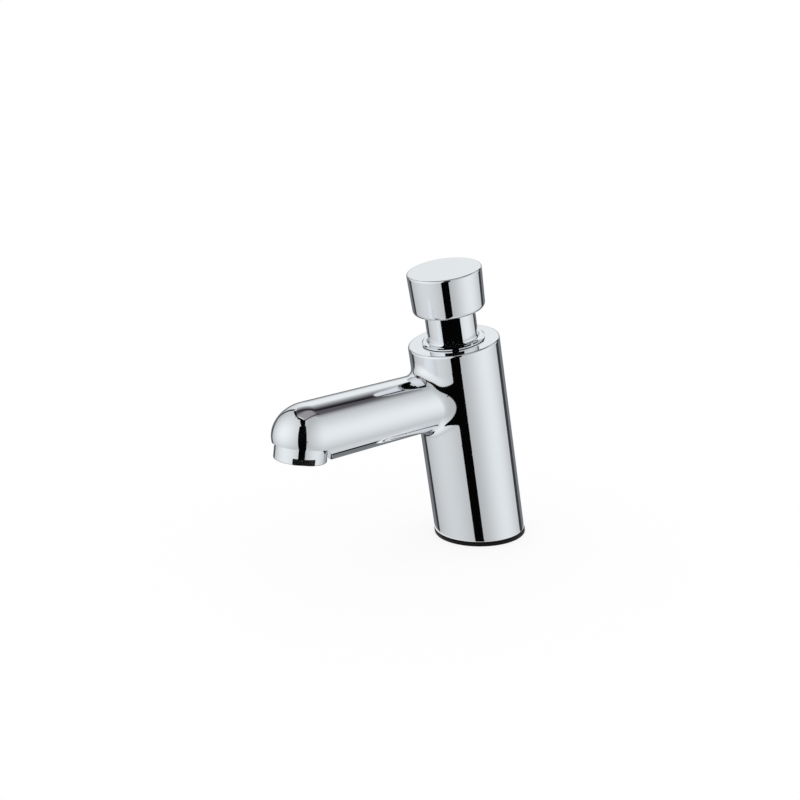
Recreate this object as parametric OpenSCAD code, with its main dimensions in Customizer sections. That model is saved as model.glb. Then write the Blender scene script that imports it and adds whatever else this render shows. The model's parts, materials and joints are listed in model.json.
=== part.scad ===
// Push timed tap: a leaning chromed casting with its spout, a mushroom push cap and a self-closing cartridge.
// Millimetres, +Z up. The origin is the centre of the base on the basin, and the spout points to -Y.
// Heights named s_ run along the leaning axis of the body, from the origin upwards.
// Screwed joints are drawn as plain cylinders, and soft rings at the size they are squeezed to.

/* [Body casting] */
// Diameter of the body
body_d = 48; // [46:0.5:54]
// Length of the body along its axis, from the basin to the top face
body_len = 111; // [107:0.5:122]
// Lean of the body towards the user, in degrees
lean = 9; // [5:0.5:12]
// Wall of the casting around its hollows
body_wall = 3.5; // [3:0.25:4]
// Rounding of the body's top rim
rim_r = 1.2; // [0.4:0.1:2]
// Diameter of the inlet column inside the base
column_d = 35; // [33:0.5:37]
// Thickness of the partition between the base hollow and the water chamber
web_t = 9; // [7:0.5:12]

/* [Spout] */
// Distance along the body axis from the top face down to the spout's axis
spout_drop = 29.5; // [28:0.25:34]
// Fall of the spout towards its nose, in degrees
spout_fall = 2.3; // [0:0.1:5]
// Diameter of the spout at the body's axis
spout_root_d = 30.4; // [29:0.2:33]
// Diameter of the spout where its nose begins
spout_nose_d = 31.8; // [30.5:0.2:34]
// Length of the spout from the body's axis to where its nose begins
spout_len = 94.8; // [85:0.2:120]
// Length of the rounded nose
nose_len = 19.5; // [18.5:0.5:26]
// Radius of the blend into the body above and below the spout
blend_r = 5.5; // [3:0.5:7]
// Radius of the blend into the body at the sides of the spout
blend_side_r = 26; // [12:1:30]
// Wall of the spout
spout_wall = 3.5; // [2.75:0.25:4]
// Diameter of the channel that feeds the outlet from above
feed_d = 11; // [8:0.5:12]
// Height of that channel's axis above the spout's axis
feed_up = 6.5; // [6:0.25:7]
// Distance that the spout's hollow starts inside the wall of the body's
waterway_in = 6; // [4:0.5:7]

/* [Outlet and aerator] */
// Distance from the start of the nose to the outlet's axis, along the spout
outlet_past = 3.5; // [1:0.25:4]
// Tilt of the outlet, its lower end forwards, in degrees
outlet_tilt = 8.5; // [0:0.5:12]
// Depth of the outlet face below the spout's axis
outlet_drop = 4.7; // [4:0.1:6]
// Diameter of the pocket cut into the underside around the aerator
pocket_d = 32.6; // [30:0.2:34]
// Diameter of the outlet's thread
outlet_thread_d = 24; // [22:0.5:24.5]
// Outer diameter of the aerator housing
housing_d = 26.9; // [26:0.1:29]
// Height of the aerator housing below the outlet face
housing_h = 8; // [7.5:0.25:10]
// Rounding of the housing's lower edge
housing_edge_r = 0.7; // [0.3:0.1:1]
// Width across the housing's two spanner flats
housing_flats = 24.4; // [24:0.2:25.6]
// Height of the housing's flats
housing_flats_h = 3.4; // [2:0.2:5]
// Turn of the housing's flats from the front, in degrees
housing_flats_turn = 66; // [0:1:180]
// Length of the housing's threaded spigot
spigot_len = 4.6; // [4.2:0.1:5.4]
// Wall of the housing's spigot
spigot_wall = 1.8; // [1.5:0.1:2.2]
// Inward reach of the lip that holds the insert
housing_lip = 1; // [0.6:0.1:1.4]
// Thickness of that lip
housing_lip_t = 1.7; // [1.2:0.1:2.2]
// How far the jet straightener sits above the housing's lower edge
insert_inset = 0.5; // [0.2:0.1:1]
// Rim without holes round the straightener and the gauze
hole_rim = 0.7; // [0.4:0.1:1]
// Diameter of the jet straightener's holes
jet_d = 1.7; // [1:0.1:1.8]
// Spacing of the jet straightener's holes
jet_pitch = 2.35; // [2.2:0.05:2.8]
// Thickness of the gauze
mesh_t = 0.6; // [0.4:0.1:1]
// Diameter of the gauze openings
mesh_hole_d = 1.3; // [0.8:0.1:1.5]
// Spacing of the gauze openings
mesh_pitch = 1.9; // [1.8:0.05:2.4]
// Thickness of the flow regulator
regulator_t = 3.4; // [3:0.1:3.8]
// Wire of the regulator's soft ring
regulator_ring_w = 1.4; // [1:0.1:1.6]
// Number of holes in the flow regulator
regulator_holes = 8; // [6:1:9]
// Distance of those holes from the outlet's axis
regulator_hole_off = 6.2; // [5.8:0.1:6.6]
// Diameter of those holes
regulator_hole_d = 3.2; // [2.4:0.1:3.6]
// Thickness of the aerator washer
aerator_washer_t = 1.5; // [1:0.1:1.8]
// Ledge of the outlet that the washer seals on
washer_ledge = 2.4; // [2.2:0.1:2.8]
// Height of the water space above the washer
outlet_chamber_h = 6; // [4:0.25:7]

/* [Base] */
// Thickness of the base gasket
gasket_t = 2.4; // [1.5:0.1:4]
// How far the gasket stands out round the body
gasket_lip = 0.3; // [0:0.1:1]
// Width of the gasket under the body
gasket_w = 5; // [4.5:0.25:6]
// Diameter of the inlet plate
plate_d = 24; // [23.5:0.5:26]
// Thickness of the inlet plate
plate_t = 12; // [11:0.5:13]
// Height of the inlet plate's underside above the basin
plate_z = 5; // [3:0.5:6]
// Hole tapped M10 x 1 for the supply hose
hose_bore_d = 9; // [8:0.1:9.5]
// Offset of the hose hole to the rear
hose_off = 5.2; // [5:0.1:5.5]
// Hole tapped M8 for the fixing stud
stud_bore_d = 6.8; // [5:0.1:7]
// Offset of the stud hole to the front
stud_off = 5.8; // [5.5:0.1:6]
// Depth of the stud hole
stud_depth = 9.5; // [7:0.5:10]
// Distance of the plate's soft ring below the plate's top
plate_ring_down = 3; // [2:0.25:5]
// Ledge of the casting that stops the plate
plate_ledge = 1.5; // [1:0.25:3]
// Height of the water space above the plate
plenum_h = 2; // [1.5:0.25:3]
// Diameter of the passage from the base to the inlet chamber
passage_d = 12; // [8:0.5:14]

/* [Head] */
// Diameter of the bonnet's thread in the body
bonnet_thread_d = 30; // [29:0.5:32]
// Length of the bonnet's thread
bonnet_thread_len = 13.5; // [12.5:0.25:15]
// Diameter of the bonnet's collar
collar_d = 33; // [32.5:0.25:36]
// Thickness of the collar at its rim
collar_t = 1.3; // [0.8:0.1:2]
// Radius of the cove between collar and neck
cove_r = 2.2; // [1:0.1:2.4]
// Diameter of the neck
neck_d = 26.4; // [26:0.2:27.4]
// Wall of the neck
neck_wall = 2.6; // [2:0.1:3.2]
// Width across the neck's two spanner flats
neck_flats = 24.4; // [23.8:0.2:25.6]
// Turn of the neck's flats from the front, in degrees
neck_flats_turn = 54; // [0:1:180]
// Visible height of the neck between the body's top and the cap
neck_show = 17.2; // [15:0.2:22]
// Height of the spring's seat above the body's top face
spring_seat = 2; // [1:0.25:3]
// Diameter of the push cap at its top
cap_d = 38.9; // [37:0.1:44]
// Diameter of the push cap at its lower edge
cap_base_d = 37.8; // [36:0.1:44]
// Height of the push cap
cap_h = 21.7; // [21:0.1:26]
// Thickness of the cap's solid crown
cap_crown = 7.9; // [7:0.1:9]
// Metal left above the stem's hole in the crown
crown_skin = 2; // [1:0.1:2.4]
// Rounding of the cap's lower edge
cap_edge_r = 2.2; // [0.8:0.1:2.6]
// Rounding of the cap's top edge
cap_top_r = 0.6; // [0.2:0.1:1.5]
// Gap between the neck and the cap's skirt
skirt_gap = 0.9; // [0.5:0.1:1.4]
// Travel of the push cap
stroke = 8; // [5:0.25:9.5]
// Diameter of the grub screw
grub_d = 4; // [3:0.5:4]
// How far the grub screw sits below the cap's side
grub_inset = 2; // [1:0.25:4]

/* [Cartridge] */
// Diameter of the stem
stem_d = 8; // [7.4:0.1:8.6]
// Diameter of the stem below the piston's shoulder
stem_low_d = 7; // [6:0.1:7]
// Diameter of the stem's thread in the cap
stem_top_d = 6; // [5:0.25:6.5]
// Diameter of the stem's thread below the valve
stem_end_d = 5; // [4:0.25:5.5]
// Outer diameter of the guide bush
bush_d = 12; // [11.5:0.1:13]
// Diameter of the guide bush's head
bush_head_d = 13.8; // [13.5:0.1:14.4]
// Thickness of the guide bush's head
bush_head_t = 1.5; // [1:0.1:2.5]
// Length of the guide bush below its head
bush_len = 9; // [7:0.25:10]
// Thickness of the stem's soft ring
stem_ring_w = 2.6; // [2.3:0.1:2.8]
// Length of the gland ring
gland_len = 5; // [4:0.25:6]
// Outer diameter of the timing sleeve
sleeve_d = 26; // [25.5:0.1:27]
// Bore of the timing sleeve
sleeve_bore_d = 21; // [20:0.1:21.4]
// Length of the bonnet's spigot in the sleeve
sleeve_spigot = 4.5; // [3:0.25:5]
// Space above the piston when the valve is shut
piston_gap = 2; // [1.5:0.25:4]
// Height of the piston
piston_h = 8; // [7:0.25:9]
// Radial gap between the piston and its sleeve
piston_side = 0.3; // [0.2:0.05:0.5]
// Height of the piston's lip seal
lip_h = 4; // [3:0.25:4.5]
// Depth of the lip seal's groove
lip_w = 2.4; // [2:0.1:2.6]
// Bore of the timing jet
jet_bore_d = 0.6; // [0.3:0.1:1]
// Diameter of the timing jet
timing_jet_d = 2.5; // [2:0.1:2.6]
// Diameter of the timing jet's head
jet_head_d = 3.5; // [3:0.1:3.6]
// Thickness of the timing jet's head
jet_head_t = 0.6; // [0.4:0.1:1]
// Distance of the timing jet from the axis
timing_jet_off = 5.8; // [5.6:0.1:6]
// Thickness of the piston's clip
clip_t = 0.9; // [0.7:0.1:1.2]
// Diameter of the piston's clip
clip_d = 11; // [10:0.25:13]
// Depth of the clip's groove in the stem
clip_groove = 0.4; // [0.3:0.05:0.6]
// Diameter of the sleeve's outlet ports
port_d = 6; // [4:0.25:7]
// Number of outlet ports
port_count = 4; // [3:1:6]
// Room between the pushed piston's clip and the ports
port_room = 0.5; // [0.3:0.1:2]
// Height of the ports above the partition
port_sill = 1; // [0.5:0.25:2]
// Depth that the sleeve sits in the casting
socket_len = 7; // [6:0.25:9]
// Wire of the soft rings on sleeve, bonnet and inlet plate
ring_w = 1.6; // [1.2:0.1:1.8]
// Bore of the valve seat
seat_bore_d = 12; // [11:0.25:13]
// Thickness of the valve seat
seat_t = 4.4; // [3:0.2:6]
// Height of the seat's raised lip
seat_lip_h = 1.6; // [1.2:0.1:2.4]
// Width of the seat's raised lip
seat_lip_w = 1.2; // [0.8:0.1:1.6]
// Chamfer at the top of the seat's bore
seat_chamfer = 1; // [0.5:0.1:1.5]
// Thickness of the seat's gasket
seat_gasket_t = 0.8; // [0.5:0.1:1]
// Diameter of the inlet chamber
chamber_d = 22; // [21.5:0.25:23.5]
// Diameter of the valve washer
washer_d = 17.6; // [16:0.2:18]
// Thickness of the valve washer
washer_t = 3; // [2:0.25:4]
// Wall and floor of the washer's holder
holder_wall = 0.8; // [0.6:0.1:1]
// Width across flats of the valve nut
nut_af = 8; // [7.5:0.5:10]
// Height of the valve nut
nut_h = 4; // [3:0.25:5]
// Length of the stem's thread below the nut
stem_stub = 1.5; // [0.5:0.25:2.5]
// Height of the strainer cup
strainer_h = 4; // [3:0.25:6]
// Sheet of the strainer cup
strainer_t = 0.8; // [0.5:0.1:1]
// Diameter of the strainer's holes
strainer_hole_d = 1.4; // [1:0.1:1.6]
// Spacing of the strainer's holes
strainer_pitch = 2.3; // [2.1:0.1:3]

/* [Return spring] */
// Wire of the return spring
spring_wire = 1.8; // [1.2:0.1:1.9]
// Mean diameter of the return spring
spring_d = 16.8; // [16.4:0.1:17.6]
// Turns of the return spring
spring_turns = 7; // [5:0.5:7.5]
// Part of a turn that lies flat at each end
spring_flat = 0.4; // [0.2:0.05:0.5]

/* [Fits] */
// Radial clearance of the stem in its bush and of the lip seal in its sleeve
run_gap = 0.04; // [0.02:0.01:0.08]
// Radial clearance of pieces screwed or pressed together
fit_gap = 0.05; // [0.02:0.01:0.1]
// Gap between washer and seat at rest
seal_gap = 0.05; // [0:0.01:0.1]
// Seam between the aerator housing and the outlet face
housing_seam = 0.2; // [0.1:0.05:0.4]
// Room left at the ends of the travel
end_room = 1.5; // [1:0.25:2]
// Room at the end of a blind hole or groove
slack = 0.2; // [0.1:0.05:0.3]

/* [Hidden] */
$fn = 96;

chrome = "#d7dade";
brass = "#c9a650";
steel = "#b4b8bc";
rubber = "#232325";
white_plastic = "#e9e9e4";
grey_plastic = "#8b9096";

// A small overlap for cuts that run past a face
past = 1;

// Heights of the head along the leaning axis
s_top = body_len;
s_seat_spring = s_top + spring_seat;
s_cap = s_top + neck_show;
s_cap_top = s_cap + cap_h;
s_ceiling = s_cap_top - cap_crown;
s_neck_top = s_ceiling - stroke - end_room;
s_socket_top = s_cap_top - crown_skin;
s_shoulder = s_top - bonnet_thread_len;
s_spigot = s_shoulder - sleeve_spigot;
s_gland = s_seat_spring - bush_len;
s_bonnet_ring = s_top - ring_w;

// Heights of the cartridge, from the bonnet down
s_piston_top = s_spigot - piston_gap;
s_piston = s_piston_top - piston_h;
s_lip = s_piston + (piston_h - lip_h) / 2;
s_clip = s_piston - clip_t;
s_port = s_clip - stroke - port_room - port_d / 2;
s_web = s_port - port_d / 2 - port_sill;
s_sleeve = s_web - socket_len;
s_sleeve_ring = s_sleeve + socket_len / 2;
s_seat = s_sleeve - seat_t;
s_step = s_seat - seat_gasket_t;
s_seat_lip = s_seat - seat_lip_h;
s_washer = s_seat_lip - seal_gap - washer_t;
s_holder = s_washer - 2 * holder_wall;
s_nut = s_holder - nut_h;
s_stem = s_nut - stem_stub;
s_chamber = s_stem - stroke - end_room - strainer_t;
s_hollow = s_web - web_t;

// The spout's axis crosses the body's axis here
spout_y = -(s_top - spout_drop) * sin(lean);
spout_z = (s_top - spout_drop) * cos(lean);
spout_rise = lean - spout_fall;
outlet_at = spout_len + outlet_past;
outlet_y = spout_y - outlet_at * cos(spout_fall);
outlet_z = spout_z - outlet_at * sin(spout_fall);

// Heights of the aerator along the outlet's axis, from the spout's axis
h_ring = -outlet_drop - housing_seam;
h_bottom = h_ring - housing_h;
h_spigot = h_ring + spigot_len;
h_shelf = h_bottom + housing_lip_t;
h_regulator = h_spigot - regulator_t;
h_mesh = h_regulator - mesh_t;
h_shoulder = h_spigot + aerator_washer_t;
housing_bore_r = outlet_thread_d / 2 - fit_gap - spigot_wall;
insert_r = housing_bore_r - fit_gap;
outlet_chamber_r = outlet_thread_d / 2 - washer_ledge;

// Radii
body_r = body_d / 2;
cavity_r = body_r - body_wall;
waterway_r = spout_root_d / 2 - spout_wall;
neck_r = neck_d / 2;
neck_bore_r = neck_r - neck_wall;
skirt_r = neck_r + skirt_gap;
stem_r = stem_d / 2;
low_r = stem_low_d / 2;
end_r = stem_end_d / 2;
gland_r = stem_r + run_gap + stem_ring_w;
sleeve_r = sleeve_d / 2;
sleeve_bore_r = sleeve_bore_d / 2;
piston_r = sleeve_bore_r - piston_side;
lip_floor_r = piston_r - lip_w;
plate_r = plate_d / 2;
plate_top = plate_z + plate_t;
plate_ring_z = plate_top - plate_ring_down;
clip_groove_r = low_r - clip_groove;
holder_r = washer_d / 2 + holder_wall + fit_gap;
nut_r = nut_af / 2 / cos(30);
grub_s = (s_ceiling + s_socket_top) / 2;

// Points of a round corner
function arc(cx, cy, r, a0, a1, n = 8) =
    [for (i = [0 : n]) let (a = a0 + (a1 - a0) * i / n) [cx + r * cos(a), cy + r * sin(a)]];

// Places on the leaning axis, along the spout, and on the outlet's axis
module on_axis(s = 0) {
    rotate([lean, 0, 0])
        translate([0, 0, s])
            children();
}

module on_spout(t = 0) {
    translate([0, spout_y, spout_z])
        rotate([90 + spout_fall, 0, 0])
            translate([0, 0, t])
                children();
}

module on_outlet(h = 0) {
    translate([0, outlet_y, outlet_z])
        rotate([-outlet_tilt, 0, 0])
            translate([0, 0, h])
                children();
}

module ring(outer_r, inner_r, h) {
    difference() {
        cylinder(r = outer_r, h = h);
        translate([0, 0, -past])
            cylinder(r = inner_r, h = h + 2 * past);
    }
}

module soft_ring(outer_r, wire) {
    rotate_extrude()
        translate([outer_r - wire / 2, 0])
            circle(d = wire);
}

// What two opposite spanner flats take away from a round piece of radius r
module flat_cuts(across, r, h) {
    for (side = [0, 180])
        rotate(side)
            translate([across / 2, -r, 0])
                cube([r, 2 * r, h]);
}

// Holes on a hexagonal grid, with whole holes inside radius r
module hole_grid(r, pitch, d, h) {
    n = floor(r / pitch) + 1;
    for (i = [-n : n], j = [-n : n]) {
        x = pitch * (i + j / 2);
        y = pitch * j * sin(60);
        if (norm([x, y]) + d / 2 <= r)
            translate([x, y, -past])
                cylinder(d = d, h = h + 2 * past, $fn = 24);
    }
}

// Body casting

module body_outside() {
    foot = body_r * tan(lean) + past;
    on_axis()
        rotate_extrude()
            polygon(concat(
                [[0, -foot], [body_r, -foot]],
                arc(body_r - rim_r, s_top - rim_r, rim_r, 0, 90),
                [[0, s_top]]));
}

module spout_outside() {
    nose_r = spout_nose_d / 2;
    n = 24;
    on_spout()
        rotate_extrude()
            polygon(concat(
                [[0, 0], [spout_root_d / 2, 0]],
                [for (i = [0 : n - 1]) [nose_r * cos(90 * i / n), spout_len + nose_len * sin(90 * i / n)]],
                [[0, spout_len + nose_len]]));
}

// The blend runs from spout to body on a curve without a kink. It ends where a ball that rolls round the
// root would touch the body, and that ball grows towards the sides of the spout.
// Both surfaces are sunk by a hair, so that the blend crosses them.
blend_sink = 0.12;
blend_around = 64;
blend_across = 7;
blend_core = 3;
// How sharply the ball grows towards the sides
blend_focus = 8;
// At the sides the blend leaves the spout at this share of the way from the corner to the ball's touch
blend_lead = 0.3;
// Pull of the corner on the curve, from 0 to 1
blend_handle = 0.55;
// The body's axis as seen along the spout
body_axis = [0, cos(spout_rise), sin(spout_rise)];

function unit(v) = v / norm(v);

function side_share(a) = abs(cos(a)) ^ blend_focus;

// A point of the spout's surface, at angle a round it and t along it
function root_point(a, t) =
    let (r = (spout_root_d + (spout_nose_d - spout_root_d) * t / spout_len) / 2 - blend_sink)
    [r * cos(a), r * sin(a), t];

// How far along the spout the point x, y lies when it is at radius r from the body's axis
function wall_t(x, y, r) = (sqrt(r ^ 2 - x ^ 2) + y * sin(spout_rise)) / cos(spout_rise);

function along(p, q, f) = p + (q - p) * f;

function curve(p0, p1, p2, p3, f) =
    (1 - f) ^ 3 * p0 + 3 * f * (1 - f) ^ 2 * p1 + 3 * f ^ 2 * (1 - f) * p2 + f ^ 3 * p3;

// One slice of the blend: its curve from spout to body, then a point inside the metal
function blend_slice(a) =
    let (ball_r = blend_r + (blend_side_r - blend_r) * side_share(a),
         out = root_point(a, body_r + blend_r) + ball_r * [cos(a), sin(a), 0],
         centre = [out[0], out[1], wall_t(out[0], out[1], body_r - blend_sink + ball_r)],
         normal = unit(centre - body_axis * (centre * body_axis)),
         on_body = centre - ball_r * normal,
         base = root_point(a, 0),
         ahead = root_point(a, 1) - base,
         corner = root_point(a, (on_body - base) * normal / (ahead * normal)),
         start = along(corner, root_point(a, centre[2]), 1 - (1 - blend_lead) * side_share(a)),
         near_start = along(start, corner, blend_handle),
         near_body = along(on_body, corner, blend_handle),
         skin = root_point(a, body_r),
         deep = [skin[0] - blend_core * cos(a), skin[1] - blend_core * sin(a),
                 wall_t(skin[0], skin[1], body_r) - blend_core])
    concat(
        [for (k = [0 : blend_across]) curve(start, near_start, near_body, on_body, k / blend_across)],
        [deep]);

module spout_blend() {
    m = blend_across + 2;
    slices = [for (i = [0 : blend_around - 1]) each blend_slice(360 * i / blend_around)];
    quads = [for (i = [0 : blend_around - 1], k = [0 : m - 1])
        let (i2 = (i + 1) % blend_around, k2 = (k + 1) % m)
        [i * m + k, i2 * m + k, i2 * m + k2, i * m + k2]];
    faces = [for (f = quads) each [[f[0], f[1], f[2]], [f[0], f[2], f[3]]]];
    on_spout()
        polyhedron(slices, faces);
}

module head_bores() {
    on_axis(s_shoulder - past)
        cylinder(d = bonnet_thread_d + 2 * fit_gap, h = bonnet_thread_len + 2 * past);
    on_axis(s_web)
        cylinder(r = cavity_r, h = s_shoulder - s_web);
    on_axis(s_step)
        cylinder(r = sleeve_r + fit_gap, h = s_web - s_step + past);
    on_axis(s_chamber)
        cylinder(d = chamber_d, h = s_step - s_chamber + past);
}

module waterway() {
    core_end = outlet_at - pocket_d / 2 - spout_wall;
    core_start = cavity_r - waterway_in;
    on_spout(core_start)
        cylinder(r = waterway_r, h = core_end - core_start);
    on_spout(core_end - past)
        translate([0, feed_up, 0])
            cylinder(d = feed_d, h = outlet_at - core_end + past);
}

module outlet_cut() {
    on_outlet(-outlet_drop - spout_nose_d)
        cylinder(d = pocket_d, h = spout_nose_d);
    on_outlet(-outlet_drop - past)
        cylinder(d = outlet_thread_d, h = h_shoulder + outlet_drop + past);
    on_outlet(h_shoulder - past)
        cylinder(r = outlet_chamber_r, h = outlet_chamber_h + past);
}

module base_hollows() {
    plenum_s = (plate_top + plenum_h / 2) / cos(lean);
    deep = body_r * tan(lean) + past;
    translate([0, 0, -past])
        cylinder(r = plate_r + fit_gap, h = plate_top + past);
    translate([0, 0, plate_top - past])
        cylinder(r = plate_r - plate_ledge, h = plenum_h + past);
    on_axis(plenum_s)
        cylinder(d = passage_d, h = s_chamber - plenum_s + past);
    on_axis(-deep)
        ring(cavity_r, column_d / 2, s_hollow + deep);
}

module under_base() {
    span = 2 * body_d;
    translate([-span / 2, -span / 2, gasket_t - span])
        cube(span);
}

module tap_body() {
    color(chrome)
        difference() {
            union() {
                body_outside();
                spout_outside();
                spout_blend();
            }
            under_base();
            head_bores();
            waterway();
            outlet_cut();
            base_hollows();
        }
}

// Base

module base_gasket() {
    deep = body_r * tan(lean) + past;
    span = 2 * body_d;
    color(rubber)
        intersection() {
            on_axis(-deep)
                ring(body_r + gasket_lip, body_r - gasket_w, 2 * deep + gasket_t);
            translate([-span / 2, -span / 2, 0])
                cube([span, span, gasket_t]);
        }
}

module inlet_plate() {
    groove_r = plate_r - ring_w;
    color(brass)
        difference() {
            translate([0, 0, plate_z])
                cylinder(r = plate_r, h = plate_t);
            translate([0, hose_off, plate_z - past])
                cylinder(d = hose_bore_d, h = plate_t + 2 * past);
            translate([0, -stud_off, plate_z - past])
                cylinder(d = stud_bore_d, h = stud_depth + past);
            translate([0, 0, plate_ring_z - ring_w / 2])
                ring(plate_r + past, groove_r, ring_w);
        }
}

module inlet_plate_oring() {
    color(rubber)
        translate([0, 0, plate_ring_z])
            soft_ring(plate_r, ring_w);
}

module inlet_strainer() {
    r = chamber_d / 2 - fit_gap;
    color(steel)
        on_axis(s_chamber)
            difference() {
                cylinder(r = r, h = strainer_h);
                translate([0, 0, strainer_t])
                    cylinder(r = r - strainer_t, h = strainer_h);
                hole_grid(passage_d / 2, strainer_pitch, strainer_hole_d, strainer_t);
            }
}

// Valve and timing cartridge

module valve_seat() {
    bore_r = seat_bore_d / 2;
    color(brass)
        on_axis()
            rotate_extrude()
                polygon([
                    [bore_r, s_seat_lip], [bore_r + seat_lip_w, s_seat_lip], [bore_r + seat_lip_w, s_seat],
                    [sleeve_r, s_seat], [sleeve_r, s_sleeve],
                    [bore_r + seat_chamfer, s_sleeve], [bore_r, s_sleeve - seat_chamfer]]);
}

module seat_gasket() {
    color(rubber)
        on_axis(s_step)
            ring(sleeve_r, chamber_d / 2, seat_gasket_t);
}

module timing_sleeve() {
    groove_r = sleeve_r - ring_w;
    color(brass)
        on_axis(s_sleeve)
            difference() {
                ring(sleeve_r, sleeve_bore_r, s_shoulder - s_sleeve);
                translate([0, 0, s_sleeve_ring - s_sleeve - ring_w / 2])
                    ring(sleeve_r + past, groove_r, ring_w);
                for (i = [0 : port_count - 1])
                    rotate([0, 0, 360 * (i + 0.5) / port_count])
                        translate([0, 0, s_port - s_sleeve])
                            rotate([0, 90, 0])
                                cylinder(d = port_d, h = sleeve_r + past);
            }
}

module sleeve_oring() {
    color(rubber)
        on_axis(s_sleeve_ring)
            soft_ring(sleeve_r, ring_w);
}

// Bonnet, its seals and its bush

module bonnet() {
    thread_r = bonnet_thread_d / 2;
    spigot_r = sleeve_bore_r - fit_gap;
    ring_low = s_bonnet_ring - ring_w / 2;
    rim = collar_t / 2;
    s_collar = s_top + collar_t;
    cove = min(cove_r, collar_d / 2 - rim - neck_r - slack);
    lead = 0.5;
    bush_r = bush_d / 2 + fit_gap;
    color(chrome)
        on_axis()
            difference() {
                rotate_extrude()
                    polygon(concat(
                        [[gland_r, s_spigot], [spigot_r, s_spigot],
                         [spigot_r, s_shoulder], [thread_r, s_shoulder],
                         [thread_r, ring_low], [thread_r - ring_w, ring_low],
                         [thread_r - ring_w, ring_low + ring_w], [thread_r, ring_low + ring_w],
                         [thread_r, s_top]],
                        arc(collar_d / 2 - rim, s_top + rim, rim, -90, 90),
                        arc(neck_r + cove, s_collar + cove, cove, 270, 180),
                        [[neck_r, s_neck_top - lead], [neck_r - lead, s_neck_top],
                         [neck_bore_r, s_neck_top], [neck_bore_r, s_seat_spring],
                         [bush_r, s_seat_spring], [bush_r, s_gland], [gland_r, s_gland]]));
                translate([0, 0, s_collar])
                    rotate(neck_flats_turn - 90)
                        flat_cuts(neck_flats, collar_d / 2, s_neck_top - s_collar + past);
            }
}

module bonnet_oring() {
    color(rubber)
        on_axis(s_bonnet_ring)
            soft_ring(bonnet_thread_d / 2, ring_w);
}

module guide_bush() {
    color(white_plastic)
        on_axis(s_gland)
            difference() {
                union() {
                    cylinder(d = bush_d, h = bush_len);
                    translate([0, 0, bush_len])
                        cylinder(d = bush_head_d, h = bush_head_t);
                }
                translate([0, 0, -past])
                    cylinder(r = stem_r + run_gap, h = bush_len + bush_head_t + 2 * past);
            }
}

module stem_oring() {
    color(rubber)
        on_axis(s_gland - stem_ring_w / 2)
            soft_ring(gland_r, stem_ring_w);
}

module gland_ring() {
    color(brass)
        on_axis(s_gland - stem_ring_w - gland_len)
            ring(gland_r - fit_gap, stem_r + slack, gland_len);
}

// The return spring is one wire, wound by a formula with flat ends
spring_rings = 8;
spring_sides = 6;
spring_len = s_ceiling - s_seat_spring;
spring_pitch = (spring_len - spring_wire) / (spring_turns - 2 * spring_flat);
spring_steps = round(spring_turns * spring_rings);

function spring_rise(u) =
    spring_wire / 2 + spring_pitch * min(max(u - spring_flat, 0), spring_turns - 2 * spring_flat);

function spring_point(i) =
    let (u = spring_turns * i / spring_steps)
    [spring_d / 2 * cos(360 * u), spring_d / 2 * sin(360 * u), spring_rise(u)];

function spring_section(i) =
    let (c = spring_point(i), out = [c[0], c[1], 0] / (spring_d / 2))
    [for (k = [0 : spring_sides - 1])
        let (a = 360 * (k + 0.5) / spring_sides)
        c + spring_wire / 2 * (cos(a) * out + sin(a) * [0, 0, 1])];

// Least room between one turn of the wire and the next
spring_room = min([for (i = [0 : spring_steps - spring_rings])
    norm(spring_point(i + spring_rings) - spring_point(i))]) - spring_wire;

module return_spring() {
    m = spring_sides;
    points = [for (i = [0 : spring_steps]) each spring_section(i)];
    sides = [for (i = [0 : spring_steps - 1], k = [0 : m - 1])
        let (k2 = (k + 1) % m)
        each [[i * m + k, (i + 1) * m + k2, (i + 1) * m + k], [i * m + k, i * m + k2, (i + 1) * m + k2]]];
    first = [for (k = [1 : m - 2]) [0, k + 1, k]];
    last = [for (k = [1 : m - 2]) [for (j = [0, k, k + 1]) spring_steps * m + j]];
    echo(spring_room = spring_room);
    color(steel)
        on_axis(s_seat_spring)
            polyhedron(points, concat(sides, first, last));
}

// Aerator

module aerator_housing() {
    r = housing_d / 2;
    thread_r = outlet_thread_d / 2 - fit_gap;
    lip_r = housing_bore_r - housing_lip;
    color(chrome)
        on_outlet()
            difference() {
                rotate_extrude()
                    polygon(concat(
                        [[lip_r, h_bottom]],
                        arc(r - housing_edge_r, h_bottom + housing_edge_r, housing_edge_r, -90, 0),
                        [[r, h_ring], [thread_r, h_ring], [thread_r, h_spigot],
                         [housing_bore_r, h_spigot], [housing_bore_r, h_shelf], [lip_r, h_shelf]]));
                translate([0, 0, h_bottom - past])
                    rotate(housing_flats_turn - 90)
                        flat_cuts(housing_flats, r, housing_flats_h + past);
            }
}

module aerator_insert() {
    foot_r = housing_bore_r - housing_lip - fit_gap;
    foot_t = housing_lip_t - insert_inset;
    insert_t = h_mesh - h_shelf;
    color(white_plastic)
        on_outlet(h_shelf - foot_t)
            difference() {
                union() {
                    cylinder(r = foot_r, h = foot_t + insert_t);
                    translate([0, 0, foot_t])
                        cylinder(r = insert_r, h = insert_t);
                }
                hole_grid(foot_r - hole_rim, jet_pitch, jet_d, foot_t + insert_t);
            }
}

module aerator_mesh() {
    color(steel)
        on_outlet(h_mesh)
            difference() {
                cylinder(r = insert_r, h = mesh_t);
                hole_grid(insert_r - hole_rim, mesh_pitch, mesh_hole_d, mesh_t);
            }
}

module flow_regulator() {
    color(grey_plastic)
        on_outlet(h_regulator)
            difference() {
                cylinder(r = insert_r, h = regulator_t);
                for (i = [0 : regulator_holes - 1])
                    rotate([0, 0, 360 * i / regulator_holes])
                        translate([regulator_hole_off, 0, -past])
                            cylinder(d = regulator_hole_d, h = regulator_t + 2 * past);
                translate([0, 0, regulator_t - regulator_ring_w])
                    ring(regulator_hole_off, regulator_hole_off - regulator_ring_w, regulator_ring_w + past);
            }
}

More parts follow.
